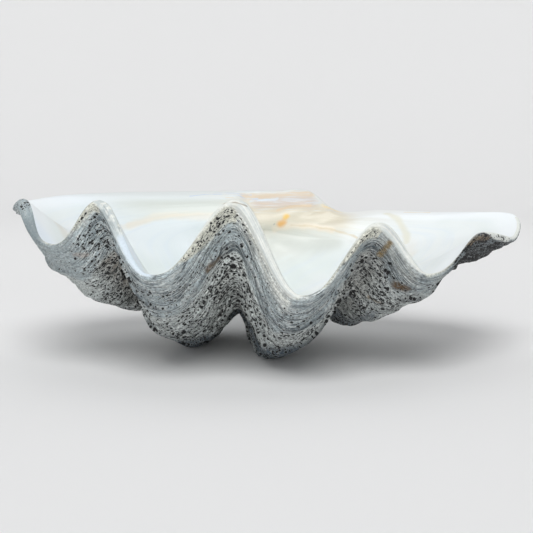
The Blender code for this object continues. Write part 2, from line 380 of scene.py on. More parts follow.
def outer_rows(loop, stages, fine):
    """The outside with its ledges, lumps and borings, and how far each point faces down."""
    rows, facing_down = [], []
    for stage in stages:
        place = np.column_stack([loop[:, :2], np.full(len(loop), stage / 2)])
        wander = WANDER * noise_at(place, WANDER_SIZE) * min(1, (1 - stage) / WANDER_START)
        wandered = stage + wander * min(1, stage / FOLD_FADE)
        row = outer_row(loop, wandered)
        along = np.roll(row, -1, 0) - np.roll(row, 1, 0)
        newer = outer_row(loop, wandered * (1 + NEARBY)) - row
        outward = unit(np.cross(along, newer))
        start = min(1, (1 - stage) / LUMP_START)
        lift = noise_at(row, LUMP_SIZE) * LUMP_HEIGHT * start
        for size, height in SMALL_LUMPS:
            lift += noise_at(row, size) * height * start
        lift += band_lift(loop, stage, LEDGES, UNEVEN_MAIN)
        lift += band_lift(loop, stage, fine, UNEVEN_FINE)
        lift *= smooth(np.hypot(*(row - UMBO)[:, 1:].T), *RELIEF_FADE)
        rows.append(row + outward * (lift - boring_depth(row))[:, None])
        facing_down.append(-outward[:, 2])
    return rows, facing_down


def flank_slope(loop):
    """The fold's slope along the margin: 1 on a full right flank of a groove, -1 on a left one."""
    step = np.roll(loop[:, :2], -1, 0) - np.roll(loop[:, :2], 1, 0)
    rise = np.roll(loop[:, 3], -1) - np.roll(loop[:, 3], 1)
    return np.clip(-rise / np.linalg.norm(step, axis=1) / FULL_FLANK, -1, 1)


def rim_rows(loop):
    """Rows round the crowned rim to its inner edge, which the hinge plate widens at the back."""
    edge = outer_row(loop, 1.0)
    along = np.roll(edge, -1, 0) - np.roll(edge, 1, 0)
    newer = unit(edge - outer_row(loop, 1 - NEARBY))
    inward = unit(np.cross(newer, along))
    plate = smooth(loop[:, 1], *PLATE_Y)[:, None]
    level = np.array([[0.0, -1.0, -PLATE_SLOPE]])
    across = unit(inward * (1 - plate) + level * plate)
    block = smooth(loop[:, 0], BLOCK_X[0] - BLOCK_FADE, BLOCK_X[0])
    block = block * (1 - smooth(loop[:, 0], BLOCK_X[1], BLOCK_X[1] + BLOCK_FADE)) * plate[:, 0]
    width = loop[:, 4:5] * (1 + FLANK_THICKEN * flank_slope(loop)[:, None])
    rows = []
    for angle in RIM_ANGLES + (180,):
        share = (1 - math.cos(math.radians(angle))) / 2
        row = edge + across * width * share
        row += newer * RIM_CROWN * math.sin(math.radians(angle))
        row[:, 2] -= BLOCK_HEIGHT * block * share**2
        rows.append(row)
    return rows


def inner_rows(loop, inner_edge, stages):
    """The inside, from the rim's inner edge to the bottom of the bowl."""
    inner_loop = loop.copy()
    inner_loop[:, :3] = inner_edge
    inner_loop[:, 2] -= loop[:, 3]
    return [inner_row(inner_loop, stage) for stage in stages]


def bridge(lower, upper):
    """Faces between two rows of vertex numbers. The upper may have half as many as the lower."""
    faces = []
    count = len(upper)
    if len(lower) == count:
        for i in range(count):
            j = (i + 1) % count
            faces.append((lower[i], lower[j], upper[j], upper[i]))
        return faces
    for i in range(count):
        j = (i + 1) % count
        start, middle, end = lower[2 * i], lower[2 * i + 1], lower[2 * j]
        faces.append((start, middle, upper[i]))
        faces.append((middle, upper[j], upper[i]))
        faces.append((middle, end, upper[j]))
    return faces


def fan(centre, row):
    """Faces that close a row of vertex numbers to a point."""
    return [(centre, a, b) for a, b in zip(row, row[1:] + row[:1])]


def build_shell():
    """The closed mesh, with its measures along the growth, folds and inside kept on its points."""
    loop = margin_curve(COLUMNS)
    fine = fine_ledges()
    stages = outer_stages([edge for edge, _ in LEDGES + fine])
    outside, facing_down = outer_rows(loop, stages, fine)
    rim = rim_rows(loop)
    inner_stages = 1 - (1 - YOUNGEST) * np.linspace(0, 1, INNER_ROWS) ** 1.15
    inside = inner_rows(loop, rim[-1], inner_stages)[1:]

    fold = np.clip(loop[:, 3] / FULL_FOLD, -1, 1)
    flank = flank_slope(loop)
    points, growth, inner, folds, flanks, downs, numbers = [], [], [], [], [], [], []

    def add_row(row, row_growth, row_inner, every=1, row_down=0.0):
        first = sum(len(other) for other in points)
        points.append(row[::every])
        growth.append(np.broadcast_to(row_growth, COLUMNS)[::every])
        inner.append(np.broadcast_to(row_inner, COLUMNS)[::every])
        folds.append(fold[::every])
        flanks.append(flank[::every])
        downs.append(np.broadcast_to(row_down, COLUMNS)[::every])
        numbers.append(list(range(first, first + len(points[-1]))))

    for row, stage, down in zip(outside[::-1], stages[::-1], facing_down[::-1]):
        add_row(row, RIM_GROWTH + (1 - stage) * GROWTH_LENGTH, -0.01, 1, down)
    for row, angle in zip(rim, RIM_ANGLES + (180,)):
        share = (1 + math.cos(math.radians(angle))) / 2
        add_row(row, RIM_GROWTH * share, 0.0)
    weathered_rows = len(numbers) - 1
    for i, (row, stage) in enumerate(zip(inside, inner_stages[1:])):
        add_row(row, 0.0, (1 - stage) * GROWTH_LENGTH, 1 if i < FULL_INNER_ROWS else 2)

    co = np.vstack(points)
    umbo = len(co)
    centres = np.array([points[0].mean(0), points[-1].mean(0)])
    co = np.vstack([co, centres])
    co[:, 2] = np.maximum(co[:, 2], GROUND)
    co -= np.array([MIDDLE[0], MIDDLE[1], GROUND])

    weathered = fan(umbo, numbers[0][::-1])
    for lower, upper in zip(numbers[:weathered_rows], numbers[1:]):
        weathered += bridge(lower, upper)
    smooth_faces = []
    for lower, upper in zip(numbers[weathered_rows:], numbers[weathered_rows + 1:]):
        smooth_faces += bridge(lower, upper)
    smooth_faces += fan(umbo + 1, numbers[-1])

    mesh = bpy.data.meshes.new("clam_shell_grown")
    mesh.from_pydata(co.tolist(), [], weathered + smooth_faces)
    slots = np.zeros(len(mesh.polygons), np.int32)
    rim_faces = len(rim) * COLUMNS
    slots[len(weathered) - rim_faces:len(weathered)] = np.tile(loop[:, 1] > PORCELAIN_RIM_Y, len(rim))
    slots[len(weathered):] = 1
    mesh.polygons.foreach_set("material_index", slots)
    ends = ((GROWTH_LENGTH, 0.0), (-0.01, GROWTH_LENGTH), (0.0, 0.0), (0.0, 0.0), (0.0, 0.0))
    names = ("growth", "inner", "fold", "flank", "facing_down")
    for name, values, end in zip(names, (growth, inner, folds, flanks, downs), ends):
        attribute = mesh.attributes.new(name, "FLOAT", "POINT")
        data = np.concatenate(values + [np.array(end)]).astype(np.float32)
        attribute.data.foreach_set("value", data)
    mesh.shade_smooth()
    return mesh


def linear(red, green, blue):
    """A colour given as it looks on the screen, 0 to 255, as the shader wants it."""
    channels = [(c / 255 / 12.92) if c < 11 else ((c / 255 + 0.055) / 1.055) ** 2.4
                for c in (red, green, blue)]
    return (*channels, 1.0)


class Nodes:
    """A material's nodes. Each call adds one node and gives back its output socket."""

    def __init__(self, name):
        self.material = bpy.data.materials.new(name)
        self.material.use_nodes = True
        self.tree = self.material.node_tree
        self.shader = self.tree.nodes["Principled BSDF"]
        self.place = self.add("ShaderNodeTexCoord").outputs["Object"]

    def add(self, kind, **settings):
        node = self.tree.nodes.new(kind)
        for name, value in settings.items():
            setattr(node, name, value)
        return node

    def feed(self, socket, value):
        if isinstance(value, bpy.types.NodeSocket):
            self.tree.links.new(value, socket)
        else:
            socket.default_value = value

    def attribute(self, name):
        return self.add("ShaderNodeAttribute", attribute_name=name).outputs["Fac"]

    def maths(self, operation, a, b=0.0, c=0.0, clamp=False):
        node = self.add("ShaderNodeMath", operation=operation, use_clamp=clamp)
        for socket, value in zip(node.inputs, (a, b, c)):
            self.feed(socket, value)
        return node.outputs[0]

    def times(self, *values):
        product = values[0]
        for value in values[1:]:
            product = self.maths("MULTIPLY", product, value)
        return product

    def plus(self, a, b):
        return self.maths("ADD", a, b)

    def minus(self, a, b):
        return self.maths("SUBTRACT", a, b)

    def either(self, a, b):
        return self.maths("MAXIMUM", a, b)

    def rise(self, value, low, high, start=0.0, end=1.0):
        """start below low, end above high, and a smooth change between them."""
        node = self.add("ShaderNodeMapRange", interpolation_type="SMOOTHSTEP")
        for name, number in zip(("Value", "From Min", "From Max", "To Min", "To Max"),
                                (value, low, high, start, end)):
            self.feed(node.inputs[name], number)
        return node.outputs[0]

    def vector(self, operation, a, b=(0.0, 0.0, 0.0)):
        node = self.add("ShaderNodeVectorMath", operation=operation)
        self.feed(node.inputs[0], a)
        self.feed(node.inputs[1], b)
        return node.outputs["Value" if operation in ("LENGTH", "DISTANCE", "DOT_PRODUCT") else "Vector"]

    def axis(self, name):
        split = self.add("ShaderNodeSeparateXYZ")
        self.feed(split.inputs[0], self.place)
        return split.outputs[name]

    def noise(self, size, detail=2.0, w=None, rough=0.5, vector=None):
        """Noise from 0 to 1 in waves of that size in metres. w is a fourth coordinate in metres."""
        dimensions = "3D" if w is None else "4D"
        node = self.add("ShaderNodeTexNoise", noise_dimensions=dimensions)
        self.feed(node.inputs["Vector"], self.place if vector is None else vector)
        if w is not None:
            self.feed(node.inputs["W"], w)
        node.inputs["Scale"].default_value = 1 / size
        node.inputs["Detail"].default_value = detail
        node.inputs["Roughness"].default_value = rough
        return node.outputs["Fac"]

    def cells(self, size, w, vector):
        """Distance to the nearest point of a scatter with that spacing, in spacings."""
        node = self.add("ShaderNodeTexVoronoi", voronoi_dimensions="4D", feature="F1")
        self.feed(node.inputs["Vector"], vector)
        self.feed(node.inputs["W"], w)
        node.inputs["Scale"].default_value = 1 / size
        return node.outputs["Distance"]

    def blend(self, share, a, b):
        node = self.add("ShaderNodeMix", data_type="RGBA", clamp_factor=True)
        self.feed(node.inputs[0], share)
        self.feed(node.inputs[6], a)
        self.feed(node.inputs[7], b)
        return node.outputs[2]

    def streak(self, points, radius, edge=0.5, vector=None):
        """1 near the line through the points, 0 away from it, in millimetres, with a soft edge."""
        where = self.place if vector is None else vector
        nearest = None
        for first, second in zip(points, points[1:]):
            a, b = Vector(first) * MM, Vector(second) * MM
            away = self.vector("SUBTRACT", where, tuple(a))
            along = self.vector("DOT_PRODUCT", away, tuple((b - a) / (b - a).length_squared))
            share = self.maths("MULTIPLY", along, 1.0, clamp=True)
            scaled = self.add("ShaderNodeVectorMath", operation="SCALE")
            scaled.inputs[0].default_value = tuple(b - a)
            self.feed(scaled.inputs["Scale"], share)
            distance = self.vector("LENGTH", self.vector("SUBTRACT", away, scaled.outputs[0]))
            nearest = distance if nearest is None else self.maths("MINIMUM", nearest, distance)
        return self.rise(nearest, radius * (1 - edge) * MM, radius * (1 + edge) * MM, 1.0, 0.0)

    def bump(self, height, depth):
        """Bends the surface as a height from 0 to 1, that deep in metres."""
        node = self.add("ShaderNodeBump")
        node.inputs["Distance"].default_value = depth
        self.feed(node.inputs["Height"], height)
        self.feed(self.shader.inputs["Normal"], node.outputs[0])
        return node


def shaken(nodes, size, amount):
    """The place, shaken by noise of that size, so that edges drawn with it are ragged."""
    node = nodes.add("ShaderNodeTexNoise")
    nodes.feed(node.inputs["Vector"], nodes.place)
    node.inputs["Scale"].default_value = 1 / size
    centred = nodes.vector("SUBTRACT", node.outputs["Color"], (0.5, 0.5, 0.5))
    offset = nodes.vector("MULTIPLY", centred, (2 * amount,) * 3)
    return nodes.vector("ADD", nodes.place, offset)


BLUE_GREY = linear(192, 204, 207)
SLATE = linear(104, 118, 124)
PALE_GREY = linear(228, 232, 229)
OLD_GREY = linear(222, 228, 225)
OLD_BROWN = linear(146, 132, 114)
CREAM = linear(220, 220, 206)
EDGE_WHITE = linear(234, 236, 230)
EDGE_BLUE = linear(212, 224, 233)
END_GREY = linear(184, 194, 196)
TIP_GREY = linear(150, 163, 167)
DARK_LINE = linear(50, 57, 64)
PIT = linear(14, 14, 15)
# Painted shade for the low faces that look down
UNDERSIDE_SHADE = linear(66, 80, 93)

# Stains on the outside: the points of each in millimetres, its radius, colour and strength
STAINS = [
    ("groove 3, the tan streak", [(121, -153, 140), (131, -172, 155)], 3.6, linear(142, 120, 80), 0.92),
    ("groove 3, the brown patch", [(141, -140, 103), (149, -140, 100)], 6.8, linear(90, 68, 42), 0.95),
    ("groove 3, the low patch", [(115, -99, 85), (127, -101, 79)], 3.5, linear(124, 102, 72), 0.75),
    ("groove 2, beside the ledge", [(-62, -164, 124), (-53, -160, 135)], 4.8, linear(98, 78, 54), 0.80),
    ("groove 4, its top", [(223, -115, 143), (230, -105, 148), (238, -95, 150), (247, -82, 147)], 4.8,
     linear(120, 100, 70), 0.90),
    ("groove 1, the red tint", [(-211, -114, 135), (-200, -112, 133)], 4.0, linear(178, 158, 146), 0.45),
]


def weathered_finish():
    """The outside and the rim: growth lines, bored pits, older browner shell and a cream edge, with painted light and
    shade.
    """
    nodes = Nodes("weathered_shell")
    growth = nodes.attribute("growth")
    fold = nodes.attribute("fold")
    flank = nodes.attribute("flank")
    x, y, z = nodes.axis("X"), nodes.axis("Y"), nodes.axis("Z")
    broad = nodes.noise(0.055, 2.0)
    patches = nodes.noise(0.020, 3.0)
    grain = nodes.noise(0.0026, 2.5, rough=0.6)
    mottles = nodes.noise(0.0060, 2.0)
    knobs = nodes.noise(0.0110, 2.5)

    # Growth lines: noise that changes fast along the growth and slowly along the shell
    wide_bands = nodes.noise(0.110, 2.0, w=nodes.times(growth, 6.0))
    arcs = nodes.noise(0.060, 2.0, w=nodes.times(growth, 9.0))
    close_arcs = nodes.noise(0.050, 1.0, w=nodes.times(growth, 15.0))
    fine_arcs = nodes.noise(0.050, 1.0, w=nodes.times(growth, 40.0))
    streaks = nodes.noise(0.016, 1.5, w=nodes.times(growth, 9.0))
    dashes = nodes.noise(0.0070, 1.0, w=nodes.times(growth, 3.0))
    arc_line = nodes.rise(nodes.maths("ABSOLUTE", nodes.minus(arcs, 0.5)), 0.0, 0.030, 1.0, 0.0)
    # Painted shadow: a dark line just on the older side of each of the first three main ledges
    ledge_shadow_line = None
    for stage, _ in LEDGES[:3]:
        just_older = nodes.minus(growth, RIM_GROWTH + (1 - stage) * GROWTH_LENGTH + 0.0012)
        line = nodes.rise(nodes.maths("ABSOLUTE", just_older), 0.0004, 0.0022, 1.0, 0.0)
        ledge_shadow_line = line if ledge_shadow_line is None else nodes.either(ledge_shadow_line, line)
    close_line = nodes.rise(nodes.maths("ABSOLUTE", nodes.minus(close_arcs, 0.48)), 0.0, 0.045, 1.0, 0.0)
    # Painted highlight: a pale line beside each arc line
    arc_highlight = nodes.rise(nodes.maths("ABSOLUTE", nodes.minus(arcs, 0.56)), 0.0, 0.035, 1.0, 0.0)

    # How far the smooth edge, the cream shell and the blue-grey band reach from the margin
    right_end = nodes.rise(x, 0.182, 0.212)
    left_end = nodes.rise(x, -0.262, -0.240)
    left_groove = nodes.rise(x, -0.125, -0.105, 1.0, 0.0)
    right_groove = nodes.rise(x, 0.060, 0.100)
    far_tip = nodes.rise(x, 0.272, 0.290)
    right_flank = nodes.rise(flank, 0.2, 0.8)
    back = nodes.rise(y, 0.04, 0.12)
    calm_rib = nodes.times(nodes.rise(x, -0.215, -0.185, 1.0, 0.0), nodes.rise(fold, -0.30, 0.10, 1.0, 0.0))
    edge_reach = nodes.plus(nodes.rise(fold, -1.0, 1.0, 0.0050, 0.0105), nodes.rise(flank, -1.0, 1.0, -0.004, 0.005))
    middle_groove = nodes.rise(nodes.maths("ABSOLUTE", nodes.plus(x, 0.030)), 0.055, 0.085, 1.0, 0.0)
    edge_reach = nodes.times(edge_reach, nodes.rise(middle_groove, 0.0, 1.0, 0.65, 1.0))
    end_limb = nodes.times(nodes.rise(x, 0.236, 0.262), nodes.minus(1.0, far_tip))
    thin_end = nodes.times(right_end, nodes.minus(1.0, nodes.either(far_tip, end_limb)), 0.85)
    edge_reach = nodes.times(edge_reach, nodes.minus(1.0, thin_end))
    edge_reach = nodes.plus(edge_reach, nodes.times(end_limb, 0.005))
    cream_reach = nodes.plus(nodes.rise(fold, -1.0, 1.0, 0.006, 0.034), nodes.times(flank, 0.003))
    cream_reach = nodes.times(cream_reach, nodes.minus(1.0, nodes.times(right_end, 0.95)))
    side_groove = nodes.either(left_groove, nodes.times(right_groove, 0.7))
    cream_reach = nodes.times(cream_reach, nodes.minus(1.0, nodes.times(side_groove, 0.50)))
    bare_flank = nodes.times(right_flank, nodes.rise(side_groove, 0.0, 0.7, 0.30, 0.85))
    cream_reach = nodes.times(cream_reach, nodes.minus(1.0, bare_flank))
    ragged = nodes.plus(growth, nodes.rise(patches, 0.2, 0.8, -0.005, 0.005))
    shifted = nodes.plus(growth, nodes.rise(broad, 0.2, 0.8, -0.014, 0.014))
    shifted = nodes.plus(shifted, nodes.times(right_groove, 0.022))
    old = nodes.rise(shifted, 0.070, 0.082)
    groove = nodes.rise(fold, -0.1, 0.6)
    cream = nodes.rise(nodes.minus(ragged, cream_reach), -0.004, 0.003, 1.0, 0.0)
    edge = nodes.rise(nodes.minus(growth, edge_reach), -0.002, 0.002, 1.0, 0.0)

    # The newer shell is blue-grey, the older paler, and brown in the grooves
    ground = nodes.blend(nodes.rise(wide_bands, 0.38, 0.58), SLATE, BLUE_GREY)
    plain = nodes.rise(fold, 0.2, 0.8, 0.85, 0.0)
    ground = nodes.blend(plain, ground, BLUE_GREY)
    ground = nodes.blend(nodes.times(old, 0.85), ground, OLD_GREY)
    browned = nodes.either(nodes.rise(patches, 0.45, 0.68, 0.0, 0.5), nodes.times(right_groove, 0.6))
    browned = nodes.either(browned, left_groove)
    ground = nodes.blend(nodes.times(old, groove, browned, 0.75), ground, OLD_BROWN)
    # Pale streaks are the shell's own; the pale line beside the arcs is a painted highlight and the pale knobs of the
    # old shell are painted light
    light = nodes.either(nodes.rise(streaks, 0.54, 0.64), nodes.times(arc_highlight, 0.8))
    light = nodes.either(light, nodes.times(old, nodes.rise(knobs, 0.55, 0.68, 0.0, 0.6)))
    light = nodes.times(light, nodes.minus(1.0, nodes.times(calm_rib, 0.6)))
    ground = nodes.blend(nodes.times(light, 0.80), ground, PALE_GREY)
    dark = nodes.either(nodes.times(nodes.rise(streaks, 0.33, 0.41, 1.0, 0.0), nodes.rise(old, 0.0, 1.0, 0.80, 0.55)),
                        nodes.times(nodes.rise(dashes, 0.26, 0.34, 1.0, 0.0), old, 0.60))
    arc_dark = nodes.times(nodes.rise(old, 0.0, 1.0, 0.90, 0.50), nodes.rise(left_groove, 0.0, 1.0, 1.0, 0.6))
    dark = nodes.either(dark, nodes.times(arc_line, arc_dark))
    ribbed = nodes.rise(fold, -0.6, 0.4, 0.70, 0.25)
    dark = nodes.either(dark, nodes.times(close_line, ribbed, nodes.rise(patches, 0.40, 0.60)))
    # The painted ledge shadow lines join the dark lines
    dark = nodes.either(dark, nodes.times(ledge_shadow_line, nodes.rise(broad, 0.40, 0.55, 0.15, 0.85)))
    dark = nodes.either(dark, nodes.times(old, nodes.rise(knobs, 0.30, 0.42, 0.50, 0.0)))
    flank_line = nodes.rise(nodes.maths("ABSOLUTE", nodes.minus(fine_arcs, 0.48)), 0.01, 0.09, 0.95, 0.0)
    lined_flank = nodes.times(right_groove, right_flank, nodes.rise(growth, 0.050, 0.064, 1.0, 0.0))
    dark = nodes.either(dark, nodes.times(flank_line, lined_flank, nodes.rise(growth, 0.010, 0.018)))
    dark = nodes.times(dark, nodes.minus(1.0, nodes.times(calm_rib, 0.75)))
    dark = nodes.times(dark, nodes.minus(1.0, nodes.times(back, 0.35)))
    ground = nodes.blend(dark, ground, DARK_LINE)
    # Painted light: the old shell of the middle groove is lifted paler
    painted_light_old_groove = nodes.times(old, groove, nodes.minus(1.0, nodes.either(left_groove, right_groove)), 0.30)
    ground = nodes.blend(painted_light_old_groove, ground, PALE_GREY)

    shade = nodes.either(nodes.times(calm_rib, 0.24), nodes.times(right_groove, 0.28))
    shade = nodes.either(shade, nodes.times(old, left_groove, 0.20))
    shade = nodes.either(shade, nodes.times(nodes.rise(fold, -0.6, 0.1, 0.26, 0.0), nodes.rise(growth, 0.006, 0.016)))
    ground = nodes.blend(shade, ground, DARK_LINE)

    # The newest shell is cream, widest at the tops of the grooves, with a smooth white edge that
    # on the right flanks thins out in white lines
    lined = nodes.rise(dark, 0.0, 1.0, 0.92, 0.65)
    ground = nodes.blend(nodes.times(cream, left_end, lined), ground, CREAM)
    thinning = nodes.times(nodes.rise(nodes.minus(growth, edge_reach), 0.006, 0.032, 1.0, 0.0),
                           nodes.rise(flank, 0.3, 0.9), nodes.rise(close_arcs, 0.40, 0.52, 0.40, 1.0),
                           nodes.minus(1.0, left_groove), nodes.minus(1.0, nodes.times(right_groove, 0.6)))
    ground = nodes.blend(thinning, ground, EDGE_WHITE)
    thin_lines = nodes.rise(streaks, 0.32, 0.50, 0.62, 0.96)
    rim_lines = nodes.rise(fine_arcs, 0.44, 0.56)
    edge_tone = nodes.blend(nodes.times(rim_lines, nodes.rise(flank, 0.2, 0.8, 0.10, 0.50)), EDGE_WHITE, END_GREY)
    mottle = nodes.times(nodes.rise(mottles, 0.38, 0.58), nodes.rise(left_groove, 0.0, 1.0, 0.15, 0.80))
    edge_tone = nodes.blend(mottle, edge_tone, END_GREY)
    ground = nodes.blend(nodes.times(edge, left_end, thin_lines), ground, edge_tone)
    glassy = nodes.streak([(-151, -170, 152), (-138, -180, 135), (-128, -184, 124)], 11, 0.4)
    glassy = nodes.times(glassy, nodes.rise(growth, 0.005, 0.009, 1.0, 0.0))
    ground = nodes.blend(glassy, ground, EDGE_BLUE)
    end_face = nodes.times(nodes.minus(1.0, left_end), nodes.rise(growth, 0.008, 0.012, 1.0, 0.0))
    ground = nodes.blend(nodes.times(end_face, nodes.rise(mottles, 0.40, 0.60, 0.9, 0.6)), ground, TIP_GREY)
    ground = nodes.blend(nodes.times(end_face, nodes.rise(z, 0.163, 0.173, 0.30, 0.0)), ground, DARK_LINE)

    # Painted shade: low faces that look down, the notch wall and the corners by the feet are darkened to slate. The
    # right end's outside is dark
    painted_under_shade = nodes.times(nodes.rise(z, 0.018, 0.036, 1.0, 0.0), nodes.rise(nodes.attribute("facing_down"), 0.45, 0.85))
    notch_wall_shade = nodes.streak([(-32, 20, 44), (-20, -30, 32), (-8, -60, 18), (6, -84, 12)], 18, 0.35)
    painted_under_shade = nodes.either(painted_under_shade, notch_wall_shade)
    corner_shade = nodes.streak([(78, -14, 50), (84, 9, 39), (95, -4, 34)], 16, 0.5)
    foot_edge_shade = nodes.streak([(95, -6, 35), (107, -40, 45), (120, -75, 59)], 7, 0.6)
    painted_under_shade = nodes.either(painted_under_shade, nodes.either(nodes.times(corner_shade, 0.8), nodes.times(foot_edge_shade, 0.6)))
    ground = nodes.blend(nodes.times(painted_under_shade, 0.88), ground, UNDERSIDE_SHADE)
    dark_end = nodes.times(right_end, nodes.minus(1.0, edge), nodes.minus(1.0, far_tip), 0.60)
    ground = nodes.blend(dark_end, ground, DARK_LINE)
    rough_place = shaken(nodes, 0.009, 0.0022)
    stained = nodes.rise(edge, 0.0, 1.0, 1.0, 0.3)
    tip_line = nodes.streak([(-46, -201, 198), (-33, -204, 200), (-21, -203, 196)], 0.8, 0.6)
    ground = nodes.blend(nodes.times(tip_line, 0.7), ground, OLD_BROWN)
    for _, points, radius, colour, strength in STAINS:
        stain = nodes.streak(points, radius, 0.6, rough_place)
        ground = nodes.blend(nodes.times(stain, strength, stained), ground, colour)
    calm = nodes.rise(nodes.either(edge, nodes.either(glassy, nodes.times(end_face, 0.5))), 0.0, 1.0, 1.0, 0.15)
    speckle = nodes.plus(nodes.times(nodes.rise(grain, 0.32, 0.68, -0.34, 0.24), calm), 1.0)
    tone = nodes.add("ShaderNodeVectorMath", operation="SCALE")
    nodes.feed(tone.inputs[0], ground)
    nodes.feed(tone.inputs["Scale"], speckle)

    # Pits, longer along the growth lines, many in the old shell and few in the smooth edge
    band = nodes.times(nodes.rise(nodes.minus(growth, edge_reach), 0.001, 0.004), cream)
    porous = nodes.either(nodes.times(old, nodes.rise(fold, -0.8, 0.2, 0.90, 1.0)), band)
    porous = nodes.either(porous, nodes.rise(growth, 0.012, 0.036, 0.0, 0.78))
    porous = nodes.either(porous, nodes.times(end_face, nodes.rise(z, 0.160, 0.178, 0.3, 0.9)))
    porous = nodes.either(porous, nodes.times(right_end, nodes.minus(1.0, edge), 1.35))
    porous = nodes.either(porous, nodes.times(end_limb, nodes.rise(growth, 0.0, 0.006)))
    porous = nodes.either(porous, nodes.times(left_groove, nodes.rise(growth, 0.014, 0.020, 0.0, 0.95)))
    porous = nodes.times(porous, nodes.minus(1.0, nodes.times(nodes.either(calm_rib, back), 0.35)))
    uneven = nodes.rise(patches, 0.25, 0.75, -0.22, 0.12)
    amount = nodes.times(porous, nodes.plus(uneven, nodes.rise(old, 0.0, 1.0, 1.0, 1.14)))
    bent = shaken(nodes, 0.004, 0.0005)
    pit, pit_rim_highlight = 0.0, 0.0
    for size, along, widest in ((0.0029, 1.0, 0.42), (0.0054, 0.9, 0.41), (0.0100, 0.8, 0.27)):
        inside = nodes.minus(nodes.times(amount, widest), nodes.cells(size, nodes.times(growth, along), bent))
        pit = nodes.either(pit, nodes.rise(inside, -0.02, 0.03))
        pit_rim_highlight = nodes.either(pit_rim_highlight, nodes.rise(inside, -0.15, -0.05))
    gash = nodes.cells(0.0120, nodes.times(growth, 2.8), bent)
    pit = nodes.either(pit, nodes.rise(nodes.minus(nodes.times(porous, 0.15), gash), -0.02, 0.03))
    for start, end, radius, _ in boring_lines():
        pit = nodes.either(pit, nodes.streak([start / MM, end / MM], radius / MM, 0.25, bent))
    shaped_pit = pit
    squeezed = nodes.vector("MULTIPLY", bent, (1.0, BORING_SQUEEZE, 1.0))
    for wide, places in SMALL_BORINGS:
        for right, behind, high in places:
            away = nodes.vector("DISTANCE", squeezed, (right * MM, behind * BORING_SQUEEZE * MM, high * MM))
            pit = nodes.either(pit, nodes.rise(away, 0.9 * wide * MM, 1.3 * wide * MM, 1.0, 0.0))
    # Painted highlight: pale rims round the pits
    pit_rim_highlight = nodes.times(pit_rim_highlight, nodes.minus(1.0, nodes.times(right_end, 0.8)))
    colour = nodes.blend(nodes.times(pit_rim_highlight, 0.30), tone.outputs[0], PALE_GREY)
    colour = nodes.blend(nodes.times(pit, 0.97), colour, PIT)
    nodes.feed(nodes.shader.inputs["Base Color"], colour)

    height = nodes.plus(nodes.times(arcs, 0.6), nodes.times(streaks, 0.9))
    height = nodes.plus(height, nodes.plus(nodes.times(grain, 0.3), nodes.times(old, knobs, 1.2)))
    height = nodes.minus(height, nodes.times(arc_line, 0.3))
    height = nodes.minus(height, nodes.times(shaped_pit, 1.2))
    nodes.bump(nodes.times(height, calm), 0.0015)
    nodes.shader.inputs["Roughness"].default_value = 0.72
    return nodes.material


PORCELAIN = linear(234, 239, 239)
BLUE_WHITE = linear(220, 231, 240)
MARGIN_WHITE = linear(243, 248, 251)
MARGIN_BLUE = linear(230, 240, 251)
IVORY = linear(215, 207, 186)
BACK_GREY_AND_SHADOW = linear(206, 211, 204)
GREEN_WHITE = linear(226, 234, 232)
BEIGE = linear(232, 222, 203)
PEACH = linear(221, 201, 172)
PINK_GREY = linear(208, 196, 186)
TAN = linear(214, 198, 166)
ORANGE = linear(232, 180, 106)
STREAK_BLUE = linear(196, 210, 232)

